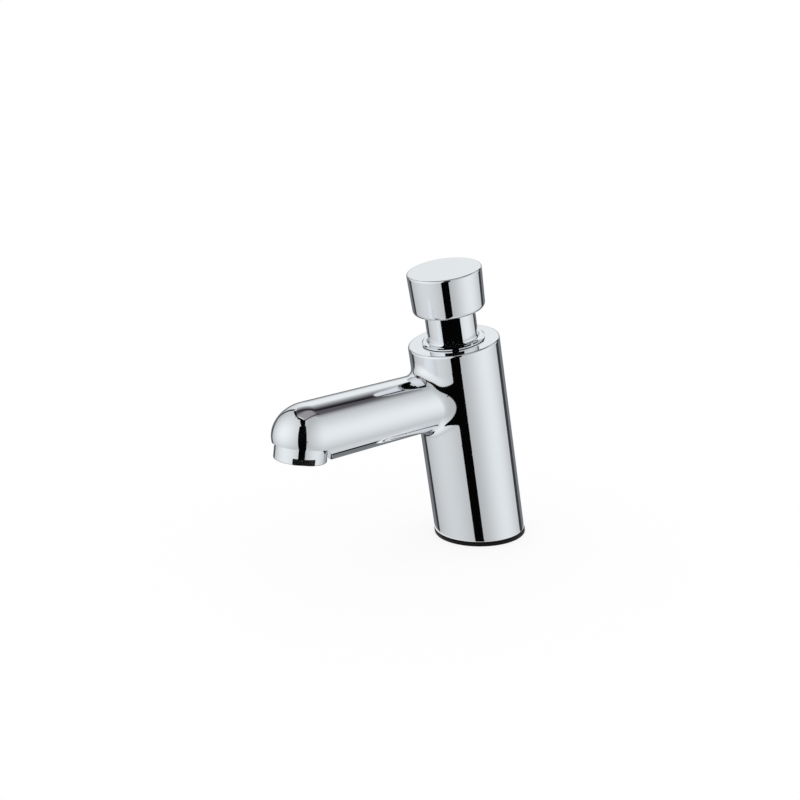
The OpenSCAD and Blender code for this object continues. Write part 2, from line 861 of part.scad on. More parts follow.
module regulator_oring() {
    color(rubber)
        on_outlet(h_regulator + regulator_t - regulator_ring_w / 2)
            soft_ring(regulator_hole_off, regulator_ring_w);
}

module aerator_washer() {
    color(rubber)
        on_outlet(h_spigot)
            ring(outlet_thread_d / 2 - fit_gap, outlet_chamber_r, aerator_washer_t);
}

// Push button group

module push_cap() {
    base_r = cap_base_d / 2;
    top_r = cap_d / 2;
    hole_r = stem_top_d / 2 + fit_gap;
    color(chrome)
        on_axis()
            difference() {
                rotate_extrude()
                    polygon(concat(
                        [[skirt_r, s_cap]],
                        arc(base_r - cap_edge_r, s_cap + cap_edge_r, cap_edge_r, -90, 0),
                        arc(top_r - cap_top_r, s_cap_top - cap_top_r, cap_top_r, 0, 90),
                        [[0, s_cap_top], [0, s_socket_top], [hole_r, s_socket_top], [hole_r, s_ceiling],
                         [skirt_r, s_ceiling]]));
                translate([0, 0, grub_s])
                    rotate([-90, 0, 0])
                        cylinder(d = grub_d + 2 * fit_gap, h = cap_d);
            }
}

module cap_grub_screw() {
    start = stem_top_d / 2 + fit_gap;
    len = cap_base_d / 2 - start - grub_inset;
    key_af = grub_d / 2;
    color(steel)
        on_axis(grub_s)
            rotate([-90, 0, 0])
                translate([0, 0, start])
                    difference() {
                        cylinder(d = grub_d, h = len);
                        translate([0, 0, len - key_af])
                            cylinder(d = key_af / cos(30), h = key_af + past, $fn = 6);
                    }
}

module stem() {
    top_r = stem_top_d / 2;
    groove = clip_t + slack / 2;
    color(steel)
        on_axis()
            rotate_extrude()
                polygon([
                    [0, s_stem], [end_r, s_stem], [end_r, s_washer + washer_t], [low_r, s_washer + washer_t],
                    [low_r, s_piston - groove], [clip_groove_r, s_piston - groove], [clip_groove_r, s_piston],
                    [low_r, s_piston], [low_r, s_piston_top], [stem_r, s_piston_top], [stem_r, s_ceiling],
                    [top_r, s_ceiling], [top_r, s_socket_top - slack], [0, s_socket_top - slack]]);
}

module piston() {
    color(grey_plastic)
        on_axis(s_piston)
            difference() {
                ring(piston_r, low_r + fit_gap, piston_h);
                translate([0, 0, s_lip - s_piston])
                    ring(piston_r + past, lip_floor_r, lip_h);
                translate([0, timing_jet_off, -past])
                    cylinder(d = timing_jet_d + 2 * fit_gap, h = piston_h + 2 * past);
            }
}

// Lip seal with its open side up, so that it only holds on the way back
module piston_lip_seal() {
    inner = lip_floor_r + fit_gap;
    outer = sleeve_bore_r - run_gap;
    wall = (outer - inner) / 3;
    heel = lip_h / 3;
    low = slack / 2;
    top = lip_h - low;
    color(rubber)
        on_axis(s_lip)
            rotate_extrude()
                polygon([
                    [inner, low], [outer - piston_side, low], [outer, top], [outer - wall, top],
                    [(inner + outer) / 2, heel], [inner + wall, top], [inner, top]]);
}

module piston_clip() {
    color(steel)
        on_axis(s_clip)
            difference() {
                ring(clip_d / 2, clip_groove_r + fit_gap, clip_t);
                translate([-clip_groove_r, 0, -past])
                    cube([2 * clip_groove_r, clip_d, clip_t + 2 * past]);
            }
}

module timing_jet() {
    color(brass)
        on_axis(s_piston)
            translate([0, timing_jet_off, 0])
                difference() {
                    union() {
                        cylinder(d = timing_jet_d, h = piston_h + jet_head_t);
                        translate([0, 0, piston_h])
                            cylinder(d = jet_head_d, h = jet_head_t);
                    }
                    translate([0, 0, -past])
                        cylinder(d = jet_bore_d, h = piston_h + jet_head_t + 2 * past);
                }
}

module valve_washer() {
    color(rubber)
        on_axis(s_washer)
            ring(washer_d / 2, end_r + fit_gap, washer_t);
}

module washer_holder() {
    rim_h = 2 * holder_wall + washer_t / 2;
    color(brass)
        on_axis(s_holder)
            difference() {
                ring(holder_r, end_r + fit_gap, rim_h);
                translate([0, 0, 2 * holder_wall])
                    cylinder(r = washer_d / 2 + fit_gap, h = rim_h);
            }
}

module valve_nut() {
    color(brass)
        on_axis(s_nut)
            difference() {
                cylinder(r = nut_r, h = nut_h, $fn = 6);
                translate([0, 0, -past])
                    cylinder(r = end_r + fit_gap, h = nut_h + 2 * past);
            }
}

tap_body();
base_gasket();
inlet_plate();
inlet_plate_oring();
inlet_strainer();
valve_seat();
seat_gasket();
timing_sleeve();
sleeve_oring();
bonnet();
bonnet_oring();
guide_bush();
stem_oring();
gland_ring();
return_spring();
aerator_housing();
aerator_insert();
aerator_mesh();
flow_regulator();
regulator_oring();
aerator_washer();
push_cap();
cap_grub_screw();
stem();
piston();
piston_lip_seal();
piston_clip();
timing_jet();
valve_washer();
washer_holder();
valve_nut();
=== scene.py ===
# Push timed tap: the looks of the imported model, in metres and in its own frame.
# +Z is up, the spout points to -Y, and the body leans towards the spout.
import json
import math
import bpy
from mathutils import Matrix, Vector


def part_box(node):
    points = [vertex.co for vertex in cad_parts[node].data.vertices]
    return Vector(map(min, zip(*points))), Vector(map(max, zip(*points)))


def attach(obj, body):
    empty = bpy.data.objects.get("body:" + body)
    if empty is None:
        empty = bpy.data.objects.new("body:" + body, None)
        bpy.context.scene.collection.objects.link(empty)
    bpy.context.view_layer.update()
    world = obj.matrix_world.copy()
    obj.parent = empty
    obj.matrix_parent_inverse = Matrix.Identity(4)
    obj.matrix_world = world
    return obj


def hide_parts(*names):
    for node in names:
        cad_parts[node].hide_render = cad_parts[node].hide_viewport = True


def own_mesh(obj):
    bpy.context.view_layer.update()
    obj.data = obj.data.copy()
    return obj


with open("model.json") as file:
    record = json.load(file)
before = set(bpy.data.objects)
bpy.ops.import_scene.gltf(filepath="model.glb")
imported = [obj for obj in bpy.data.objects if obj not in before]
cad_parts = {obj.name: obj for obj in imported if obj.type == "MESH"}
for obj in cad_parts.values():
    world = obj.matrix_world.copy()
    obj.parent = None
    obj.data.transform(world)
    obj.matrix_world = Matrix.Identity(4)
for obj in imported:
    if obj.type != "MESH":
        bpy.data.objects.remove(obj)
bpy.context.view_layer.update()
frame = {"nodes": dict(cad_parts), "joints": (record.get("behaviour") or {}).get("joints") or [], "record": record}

# Sizes, in metres
MM = 0.001

# Body casting
BODY_R = 24 * MM
BODY_TOP = 111 * MM
RIM_ROUND = 1.2 * MM
FOOT_ROUND = 0.5 * MM

# Hollows of the casting: heights along the leaning axis, but level for the inlet plate
CAVITY_R = 20.5 * MM
CAVITY_LOW = 66.6 * MM
SOCKET_R = 13.05 * MM
SOCKET_LOW = 54.4 * MM
CHAMBER_R = 11 * MM
CHAMBER_LOW = 33.15 * MM
PASSAGE_R = 6 * MM
COLUMN_R = 17.5 * MM
BASE_HOLLOW_TOP = 57.6 * MM
PLATE_BORE_R = 12.05 * MM
PLATE_TOP = 17 * MM
PLENUM_R = 10.5 * MM
PLENUM_TOP = 19 * MM
WATERWAY_R = 11.7 * MM
WATERWAY_START = 14.5 * MM
WATERWAY_END = 78.5 * MM
FEED_R = 5.5 * MM
FEED_UP = 6.5 * MM

# Spout
SPOUT_DROP = 29.5 * MM
SPOUT_FALL = math.radians(2.3)
SPOUT_ROOT_R = 15.2 * MM
SPOUT_NOSE_R = 15.9 * MM
SPOUT_LEN = 94.8 * MM
NOSE_LEN = 19.5 * MM

# Blend at the spout's root: its radius above and below the spout and at its sides, how closely the larger
# radius keeps to the sides, and the reach of its curves
BLEND_R = 5.5 * MM
SIDE_BLEND_R = 26 * MM
SIDE_POWER = 8
SIDE_LEAD = 0.3
HANDLE = 0.55

# Outlet and aerator
OUTLET_PAST = 3.5 * MM
OUTLET_TILT = math.radians(8.5)
OUTLET_DROP = 4.7 * MM
POCKET_R = 16.3 * MM
OUTLET_THREAD_R = 12 * MM
OUTLET_STEP = 1.2 * MM
OUTLET_CHAMBER_R = 9.6 * MM
OUTLET_CHAMBER_H = 6 * MM
HOUSING_R = 13.45 * MM
HOUSING_H = 8 * MM
HOUSING_EDGE = 0.7 * MM
HOUSING_FLATS = 24.4 * MM
HOUSING_FLATS_H = 3.4 * MM
HOUSING_FLATS_TURN = math.radians(66)
HOUSING_BORE_R = 10.15 * MM
HOUSING_LIP_R = 9.15 * MM
HOUSING_LIP_T = 1.7 * MM
SPIGOT_LEN = 4.6 * MM
SEAM = 0.2 * MM
FIT = 0.05 * MM

# Gasket
GASKET_LIP = 0.3 * MM
GASKET_W = 5 * MM
GASKET_ROUND = 0.5 * MM

# Bonnet, with a slit under the edge of its collar
BONNET_THREAD_R = 15 * MM
BONNET_THREAD_LEN = 13.5 * MM
BONNET_SPIGOT_R = 10.45 * MM
BONNET_SPIGOT_LEN = 4.5 * MM
COLLAR_R = 16.5 * MM
COLLAR_T = 1.3 * MM
COLLAR_GAP = 0.3 * MM
COLLAR_UNDERCUT = 1.1 * MM
COLLAR_SLOPE_W = 0.75 * MM
COLLAR_SLOPE_H = 0.42 * MM
COVE_R = 1.3 * MM
NECK_R = 13.2 * MM
NECK_BORE_R = 10.6 * MM
NECK_TOP = 132.5 * MM
NECK_LEAD = 0.5 * MM
NECK_FLATS = 24.4 * MM
NECK_FLATS_TURN = math.radians(54)
RING_GROOVE_LOW = 108.6 * MM
RING_GROOVE_W = 1.6 * MM
GLAND_R = 6.64 * MM
BUSH_BORE_R = 6.05 * MM
GLAND_TOP = 104 * MM

# Push cap
CAP_LOW = 128.2 * MM
CAP_TOP = 149.9 * MM
CAP_BASE_R = 18.9 * MM
CAP_TOP_R = 19.45 * MM
CAP_LOW_ROUND = 2.2 * MM
CAP_TOP_ROUND = 1.1 * MM
CAP_BORE_R = 14.1 * MM
CAP_CEILING = 142 * MM
CAP_SOCKET_R = 3.05 * MM
CAP_SOCKET_TOP = 147.9 * MM
GRUB_HOLE_R = 2.05 * MM
GRUB_HEIGHT = 144.95 * MM

# Return spring
SPRING_SEAT = 113 * MM
SPRING_WIRE = 1.8 * MM
SPRING_R = 8.4 * MM
SPRING_TURNS = 7
SPRING_FLAT = 0.4
SPRING_LENGTH = CAP_CEILING - SPRING_SEAT

# Frames: the leaning axis, the spout and the outlet, each with its length along local Z
push = frame["joints"][0]
PUSH_AXIS = Vector(push["axis"])
LEAN = math.atan2(PUSH_AXIS.y, -PUSH_AXIS.z)
UP = -PUSH_AXIS
AXIS = Matrix.Rotation(LEAN, 4, "X")
CROSSING = UP * (BODY_TOP - SPOUT_DROP)
SPOUT = Matrix.Translation(CROSSING) @ Matrix.Rotation(math.pi / 2 + SPOUT_FALL, 4, "X")
OUTLET_AT = SPOUT @ Vector((0, 0, SPOUT_LEN + OUTLET_PAST))
OUTLET = Matrix.Translation(OUTLET_AT) @ Matrix.Rotation(-OUTLET_TILT, 4, "X")
LEVEL = Matrix.Identity(4)
BASE_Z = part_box("base_gasket")[1].z

# Mesh counts
TURN_STEPS = 192
BORE_STEPS = 128
ARC_STEPS = 10
TOP_STEPS = 120
SIDE_STEPS = 36
BLEND_STEPS = 16
BALL_PASSES = 3
WALL_ROWS = 44
WALL_CROWDING = 1.2
SPOUT_ROWS = 36
NOSE_ROWS = 32
COIL_STEPS = 32
WIRE_STEPS = 4

# Points closer than this are one point, and edges bent by more than this stay sharp
WELD = 0.0005 * MM
SHARP = math.radians(16)


# Tools for modelling

def arc(centre_r, centre_h, radius, start, end):
    """Points (radius, height) of a round corner, with angles in degrees."""
    turns = [math.radians(start + (end - start) * i / ARC_STEPS) for i in range(ARC_STEPS + 1)]
    return [(centre_r + radius * math.cos(turn), centre_h + radius * math.sin(turn)) for turn in turns]


def tidy_shell(piece):
    """Welds a shell and points its faces outwards."""
    bpy.ops.object.select_all(action="DESELECT")
    piece.select_set(True)
    bpy.context.view_layer.objects.active = piece
    bpy.ops.object.mode_set(mode="EDIT")
    bpy.ops.mesh.select_all(action="SELECT")
    bpy.ops.mesh.remove_doubles(threshold=WELD)
    bpy.ops.mesh.normals_make_consistent(inside=False)
    bpy.ops.object.mode_set(mode="OBJECT")


def place_piece(piece, place):
    """Moves a piece to its frame, with the place kept in its mesh."""
    piece.matrix_world = place
    bpy.ops.object.select_all(action="DESELECT")
    piece.select_set(True)
    bpy.context.view_layer.objects.active = piece
    bpy.ops.object.transform_apply(location=True, rotation=True, scale=True)


def turned(name, outline, place, steps=TURN_STEPS):
    """A piece turned on a lathe: an outline of (radius, height) points, spun round local Z."""
    bpy.ops.object.select_all(action="DESELECT")
    bpy.ops.mesh.primitive_plane_add(size=MM)
    piece = bpy.context.object
    piece.name = name
    bpy.ops.object.mode_set(mode="EDIT")
    bpy.ops.mesh.select_all(action="SELECT")
    bpy.ops.mesh.merge(type="CENTER")
    bpy.ops.transform.translate(value=(outline[0][0], 0, outline[0][1]))
    for (r0, h0), (r1, h1) in zip(outline, outline[1:]):
        bpy.ops.mesh.extrude_vertices_move(TRANSFORM_OT_translate={"value": (r1 - r0, 0, h1 - h0)})
    bpy.ops.mesh.select_all(action="SELECT")
    bpy.ops.mesh.spin(steps=steps, angle=math.tau, center=(0, 0, 0), axis=(0, 0, 1))
    bpy.ops.object.mode_set(mode="OBJECT")
    tidy_shell(piece)
    place_piece(piece, place)
    return piece


def cut(piece, *cutters):
    """Takes the cutters' shapes out of a piece."""
    for cutter in cutters:
        knife = piece.modifiers.new("bore", "BOOLEAN")
        knife.operation = "DIFFERENCE"
        knife.solver = "MANIFOLD"
        knife.object = cutter
        bpy.ops.object.select_all(action="DESELECT")
        bpy.context.view_layer.objects.active = piece
        bpy.ops.object.modifier_apply(modifier=knife.name)
        bpy.data.objects.remove(cutter)


def polish(piece):
    """Smooth shading that keeps flat faces flat and sharp edges sharp."""
    bpy.ops.object.select_all(action="DESELECT")
    piece.select_set(True)
    bpy.context.view_layer.objects.active = piece
    bpy.ops.object.shade_smooth_by_angle(angle=SHARP)
    normals = piece.modifiers.new("flats", "WEIGHTED_NORMAL")
    normals.keep_sharp = True
    bpy.ops.object.modifier_apply(modifier=normals.name)


def dress(piece, body, slot, *nodes):
    """Gives a piece its finish, the body that it rides on and the nodes that it stands for."""
    piece.data.materials.clear()
    piece.data.materials.append(FINISHES[slot])
    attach(piece, body)
    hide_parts(*nodes)


# Tools for materials

# Length of one wave of the wave texture at scale 1
WAVE = math.tau / 20


def colour(text):
    """An sRGB hex value as linear RGBA."""
    parts = [int(text[i:i + 2], 16) / 255 for i in (1, 3, 5)]
    linear = [c / 12.92 if c <= 0.04045 else ((c + 0.055) / 1.055) ** 2.4 for c in parts]
    return (*linear, 1)


def add_node(tree, kind, inputs=None, **settings):
    """Adds a node, sets it, and links or fills its inputs."""
    node = tree.nodes.new(kind)
    for name, value in settings.items():
        setattr(node, name, value)
    for socket, value in (inputs or {}).items():
        if isinstance(value, bpy.types.NodeSocket):
            tree.links.new(value, node.inputs[socket])
        else:
            node.inputs[socket].default_value = value
    return node


def new_material(name):
    """An empty node material, with its tree and the place of the surface."""
    material = bpy.data.materials.new(name)
    material.use_nodes = True
    tree = material.node_tree
    tree.nodes.clear()
    place = add_node(tree, "ShaderNodeTexCoord").outputs["Object"]
    return material, tree, place


def chrome_plate():
    """Bright chrome on polished brass: a cool mirror, a trace softer where the polishing wheel lingered."""
    wheel_mark = 14 * MM
    swell_width = 6 * MM
    swell_depth = 0.004 * MM
    material, tree, place = new_material("chrome_plate_polished")
    wheel = add_node(tree, "ShaderNodeTexNoise", {"Vector": place, "Scale": 1 / wheel_mark, "Detail": 2})
    gloss = add_node(tree, "ShaderNodeMapRange", {
        "Value": wheel.outputs["Fac"], "From Min": 0.3, "From Max": 0.7, "To Min": 0.03, "To Max": 0.06})
    swell = add_node(tree, "ShaderNodeTexNoise", {"Vector": place, "Scale": 1 / swell_width, "Detail": 1})
    bump = add_node(tree, "ShaderNodeBump", {
        "Height": swell.outputs["Fac"], "Strength": 1, "Distance": swell_depth})
    shader = add_node(tree, "ShaderNodeBsdfPrincipled", {
        "Base Color": colour("#ECEEF1"), "Metallic": 1, "Roughness": gloss.outputs["Result"],
        "Normal": bump.outputs["Normal"]})
    add_node(tree, "ShaderNodeOutputMaterial", {"Surface": shader.outputs["BSDF"]})
    return material


def turned_brass():
    """Free-cutting brass off the lathe: warm yellow, with fine tool rings."""
    ring_pitch = 0.3 * MM
    ring_depth = 0.01 * MM
    stain_width = 4 * MM
    material, tree, place = new_material("brass_turned")
    upright = add_node(tree, "ShaderNodeMapping", {"Vector": place, "Rotation": (-LEAN, 0, 0)})
    rings = add_node(tree, "ShaderNodeTexWave", {
        "Vector": upright.outputs["Vector"], "Scale": WAVE / ring_pitch},
        wave_type="RINGS", rings_direction="Z")
    stain = add_node(tree, "ShaderNodeTexNoise", {"Vector": place, "Scale": 1 / stain_width, "Detail": 3})
    gloss = add_node(tree, "ShaderNodeMapRange", {
        "Value": stain.outputs["Fac"], "To Min": 0.18, "To Max": 0.34})
    bump = add_node(tree, "ShaderNodeBump", {
        "Height": rings.outputs["Fac"], "Strength": 0.3, "Distance": ring_depth})
    shader = add_node(tree, "ShaderNodeBsdfPrincipled", {
        "Base Color": colour("#C9A24E"), "Metallic": 1, "Roughness": gloss.outputs["Result"],
        "Normal": bump.outputs["Normal"]})
    add_node(tree, "ShaderNodeOutputMaterial", {"Surface": shader.outputs["BSDF"]})
    return material


def grained(name, grain, detail, gloss, relief, depth, surface):
    """A material whose gloss and relief follow one noise: its grain and depth are lengths, gloss a range."""
    material, tree, place = new_material(name)
    noise = add_node(tree, "ShaderNodeTexNoise", {"Vector": place, "Scale": 1 / grain, "Detail": detail})
    rough = add_node(tree, "ShaderNodeMapRange", {
        "Value": noise.outputs["Fac"], "To Min": gloss[0], "To Max": gloss[1]})
    bump = add_node(tree, "ShaderNodeBump", {
        "Height": noise.outputs["Fac"], "Strength": relief, "Distance": depth})
    shader = add_node(tree, "ShaderNodeBsdfPrincipled", {
        **surface, "Roughness": rough.outputs["Result"], "Normal": bump.outputs["Normal"]})
    add_node(tree, "ShaderNodeOutputMaterial", {"Surface": shader.outputs["BSDF"]})
    return material


def painted_shade_skin():
    """Painted shade for hollows: a dull, dark brown metal skin with a fine sand grain."""
    return grained("painted_shade_brass", grain=0.4 * MM, detail=4, gloss=(0.5, 0.7), relief=0.2, depth=0.03 * MM,
                   surface={"Base Color": colour("#1E1A15"), "Metallic": 1})


def drawn_steel():
    """Bright stainless steel, drawn or pressed: neutral grey, slightly satin."""
    return grained("stainless_steel_drawn", grain=0.6 * MM, detail=3, gloss=(0.2, 0.34), relief=0.1,
                   depth=0.01 * MM, surface={"Base Color": colour("#C2C4C6"), "Metallic": 1})


def moulded_rubber():
    """Black EPDM rubber from the mould: near black, a soft sheen and a faint grain."""
    return grained("epdm_rubber_moulded", grain=0.5 * MM, detail=4, gloss=(0.38, 0.55), relief=0.15,
                   depth=0.03 * MM,
                   surface={"Base Color": colour("#070708"), "IOR": 1.5, "Specular IOR Level": 0.12})


def moulded_acetal(name, shade):
    """Acetal from the mould: a waxy plastic with a faint flow in its gloss."""
    return grained(name, grain=3 * MM, detail=3, gloss=(0.3, 0.45), relief=0.2, depth=0.02 * MM,
                   surface={"Base Color": colour(shade), "IOR": 1.48})


FINISHES = {
    "chromed_brass": chrome_plate(),
    "brass": turned_brass(),
    "stainless_steel": drawn_steel(),
    "black_rubber": moulded_rubber(),
    "white_acetal": moulded_acetal("white_acetal_moulded", "#E9E8E2"),
    "grey_acetal": moulded_acetal("grey_acetal_moulded", "#8B9096"),
}
# A dark skin that paints the shade inside the cap's hollow and the slit under the collar
PAINTED_SHADE_SKIN = painted_shade_skin()


# Body casting

def spout_point(angle, along):
    """A point on the spout's cone, in the spout's frame: its angle round the axis and its way along it."""
    radius = SPOUT_ROOT_R + (SPOUT_NOSE_R - SPOUT_ROOT_R) * along / SPOUT_LEN
    return Vector((radius * math.cos(angle), radius * math.sin(angle), along))


def ball_touches(angle):
    """Where a ball that rolls round the spout's root touches spout and body, and the body's normal there."""
    rise = LEAN - SPOUT_FALL
    axis = Vector((0, math.cos(rise), math.sin(rise)))
    ball_r = BLEND_R + (SIDE_BLEND_R - BLEND_R) * math.cos(angle) ** SIDE_POWER
    on_spout = spout_point(angle, BODY_R + BLEND_R)
    for _ in range(BALL_PASSES):
        centre = on_spout + ball_r * Vector((math.cos(angle), math.sin(angle), 0))
        reach = math.sqrt((BODY_R + ball_r) ** 2 - centre.x ** 2)
        centre.z = (reach + centre.y * math.sin(rise)) / math.cos(rise)
        on_spout = spout_point(angle, centre.z)
    normal = (centre - axis * centre.dot(axis)).normalized()
    return on_spout, centre - ball_r * normal, normal


def blend_row(angle):
    """Points of the blend at an angle, on a curve that leaves the spout and meets the body without a kink."""
    on_spout, on_wall, normal = ball_touches(angle)
    base = spout_point(angle, 0)
    ahead = spout_point(angle, 1) - base
    corner = spout_point(angle, (on_wall - base).dot(normal) / ahead.dot(normal))
    lead = 1 - (1 - SIDE_LEAD) * math.cos(angle) ** SIDE_POWER
    first = corner.lerp(on_spout, lead)
    controls = (first, first.lerp(corner, HANDLE), on_wall.lerp(corner, HANDLE), on_wall)
    row = []
    for i in range(BLEND_STEPS + 1):
        done = i / BLEND_STEPS
        left = 1 - done
        weights = (left ** 3, 3 * done * left ** 2, 3 * done ** 2 * left, done ** 3)
        row.append(SPOUT @ sum((weight * point for weight, point in zip(weights, controls)), Vector()))
    return row


def spout_row(angle, start):
    """Points of the spout at an angle, from the blend to the tip of the nose."""
    first = (SPOUT.inverted() @ start).z
    step = (SPOUT_LEN - first) / SPOUT_ROWS
    points = [spout_point(angle, first + step * i) for i in range(1, SPOUT_ROWS + 1)]
    for i in range(1, NOSE_ROWS + 1):
        bend = math.pi / 2 * i / NOSE_ROWS
        radius = SPOUT_NOSE_R * math.cos(bend)
        along = SPOUT_LEN + NOSE_LEN * math.sin(bend)
        points.append(Vector((radius * math.cos(angle), radius * math.sin(angle), along)))
    return [SPOUT @ point for point in points]


def on_body(turn, height, radius):
    """A point on the body: its turn from the front, its height along the axis, its distance from it."""
    return AXIS @ Vector((radius * math.sin(turn), -radius * math.cos(turn), height))


def foot_height(turn, radius, above):
    """Height along the axis at which the body's wall is this far above its level base."""
    return (BASE_Z + above + radius * math.cos(turn) * math.sin(LEAN)) / math.cos(LEAN)


def wall_edge():
    """For each ray round the spout, its angle and the turn and height at which it meets the wall's edge.

    The wall is unrolled: its top edge, its seam at the back going down, its foot, and the seam going up.
    Its corners are 90 degrees apart as the spout sees them, and the first is at 135.
    """
    first_corner = 135
    corner_step = 90
    high = BODY_TOP - RIM_ROUND
    rays = []
    for side, steps in enumerate((TOP_STEPS, SIDE_STEPS, TOP_STEPS, SIDE_STEPS)):
        for i in range(steps):
            done = i / steps
            turn = (math.pi * (2 * done - 1), math.pi, math.pi * (1 - 2 * done), -math.pi)[side]
            low = foot_height(turn, BODY_R, FOOT_ROUND)
            height = (high, high + (low - high) * done, low, low + (high - low) * done)[side]
            rays.append((math.radians(first_corner - corner_step * (side + done)), turn, height))
    return rays


def wall_row(start, turn, height):
    """Points of the body's wall from the blend to the wall's edge."""
    local = AXIS.inverted() @ start
    first_turn = math.atan2(local.x, -local.y)
    row = []
    for i in range(1, WALL_ROWS + 1):
        done = (i / WALL_ROWS) ** WALL_CROWDING
        row.append(on_body(first_turn + (turn - first_turn) * done,
                           local.z + (height - local.z) * done, BODY_R))
    return row


def body_casting():
    """The casting's outside: wall, spout and rolling-ball blend as one skin, then round edges and ends."""
    points = []
    faces = []

    def join(columns):
        """Adds a closed ring of columns of points and its faces, and returns the points at its last edge."""
        start = len(points)
        rows = len(columns[0])
        for column in columns:
            points.extend(column)
        for i in range(len(columns)):
            j = (i + 1) % len(columns)
            for k in range(rows - 1):
                faces.append((start + i * rows + k, start + j * rows + k,
                              start + j * rows + k + 1, start + i * rows + k + 1))
        return [start + i * rows + rows - 1 for i in range(len(columns))]

    skin = []
    for angle, turn, height in wall_edge():
        blend = blend_row(angle)
        skin.append(spout_row(angle, blend[0])[::-1] + blend + wall_row(blend[-1], turn, height))
    join(skin)
    around = [math.tau * i / TOP_STEPS - math.pi for i in range(TOP_STEPS)]
    rim_bend = arc(BODY_R - RIM_ROUND, BODY_TOP - RIM_ROUND, RIM_ROUND, 0, 90)
    foot_bend = arc(BODY_R - FOOT_ROUND, FOOT_ROUND, FOOT_ROUND, 0, -90)
    rim = [[on_body(turn, height, radius) for radius, height in rim_bend] for turn in around]
    foot = [[on_body(turn, foot_height(turn, radius, above), radius) for radius, above in foot_bend]
            for turn in around]
    faces.append(join(rim))
    faces.append(join(foot)[::-1])
    mesh = bpy.data.meshes.new("body_casting")
    mesh.from_pydata(points, [], faces)
    piece = bpy.data.objects.new("body_casting", mesh)
    bpy.context.scene.collection.objects.link(piece)
    tidy_shell(piece)
    return piece


def bore(place, start, end, radius, core=0):
    """A cutter for a round hole from start to end along a frame's axis, with a core left standing in it."""
    if core:
        outline = [(core, start), (radius, start), (radius, end), (core, end), (core, start)]
    else:
        outline = [(0, start), (radius, start), (radius, end), (0, end)]
    return turned("bore", outline, place, BORE_STEPS)


def flat_cutters(place, turn, across, low, high, radius):
    """Two blocks that cut opposite spanner flats, turned from the front, between two heights of a frame."""
    blocks = []
    for side in (0, math.pi):
        bpy.ops.object.select_all(action="DESELECT")
        bpy.ops.mesh.primitive_cube_add(size=1)
        block = bpy.context.object
        block.scale = (2 * radius, radius, high - low)
        out = Matrix.Translation((0, -(across + radius) / 2, (low + high) / 2))
        place_piece(block, place @ Matrix.Rotation(turn + side, 4, "Z") @ out @ block.matrix_basis)
        blocks.append(block)
    return blocks


casting = body_casting()
thread_low = BODY_TOP - BONNET_THREAD_LEN
feed = SPOUT @ Matrix.Translation((0, FEED_UP, 0))
plenum_height = (PLATE_TOP + PLENUM_TOP) / 2 / math.cos(LEAN)
cut(casting,
    bore(AXIS, thread_low - MM, BODY_TOP + MM, BONNET_THREAD_R + FIT),
    bore(AXIS, CAVITY_LOW, thread_low, CAVITY_R),
    bore(AXIS, SOCKET_LOW, CAVITY_LOW + MM, SOCKET_R),
    bore(AXIS, CHAMBER_LOW, SOCKET_LOW + MM, CHAMBER_R),
    bore(AXIS, plenum_height, CHAMBER_LOW + MM, PASSAGE_R),
    bore(LEVEL, -MM, PLATE_TOP, PLATE_BORE_R),
    bore(LEVEL, PLATE_TOP - MM, PLENUM_TOP, PLENUM_R),
    bore(AXIS, -BODY_R, BASE_HOLLOW_TOP, CAVITY_R, COLUMN_R),
    bore(SPOUT, WATERWAY_START, WATERWAY_END, WATERWAY_R),
    bore(feed, WATERWAY_END - MM, SPOUT_LEN + OUTLET_PAST, FEED_R),
    bore(OUTLET, -OUTLET_DROP - 2 * SPOUT_NOSE_R, -OUTLET_DROP, POCKET_R),
    bore(OUTLET, -OUTLET_DROP - MM, OUTLET_STEP, OUTLET_THREAD_R),
    bore(OUTLET, OUTLET_STEP - MM, OUTLET_STEP + OUTLET_CHAMBER_H, OUTLET_CHAMBER_R))
polish(casting)
dress(casting, "tap", "chromed_brass", "tap_body")


# Turned pieces: the cap's hollow and the slit under the collar take a dark skin as painted shade

def paint_hollow_shade(piece, inner, outer, high):
    """Paints shade with the dark skin on the faces between two distances from the leaning axis and below a height.
    """
    piece.data.materials.append(PAINTED_SHADE_SKIN)
    for face in piece.data.polygons:
        middle = AXIS.inverted() @ face.center
        if inner < math.hypot(middle.x, middle.y) < outer and middle.z < high:
            face.material_index = 1


cap = turned("push_cap_shell", [
    (CAP_BORE_R, CAP_LOW),
    *arc(CAP_BASE_R - CAP_LOW_ROUND, CAP_LOW + CAP_LOW_ROUND, CAP_LOW_ROUND, -90, 0),
    *arc(CAP_TOP_R - CAP_TOP_ROUND, CAP_TOP - CAP_TOP_ROUND, CAP_TOP_ROUND, 0, 90),
    (0, CAP_TOP), (0, CAP_SOCKET_TOP), (CAP_SOCKET_R, CAP_SOCKET_TOP), (CAP_SOCKET_R, CAP_CEILING),
    (CAP_BORE_R, CAP_CEILING), (CAP_BORE_R, CAP_LOW)], AXIS)
grub_way = AXIS @ Matrix.Translation((0, 0, GRUB_HEIGHT)) @ Matrix.Rotation(-math.pi / 2, 4, "X")
cut(cap, bore(grub_way, CAP_SOCKET_R / 2, CAP_TOP_R + MM, GRUB_HOLE_R))
polish(cap)
dress(cap, "button", "chromed_brass", "push_cap")
# Painted shade: the cap's hollow and underside take the dark skin
paint_hollow_shade(cap, 0, CAP_BASE_R - CAP_LOW_ROUND, CAP_CEILING + WELD)

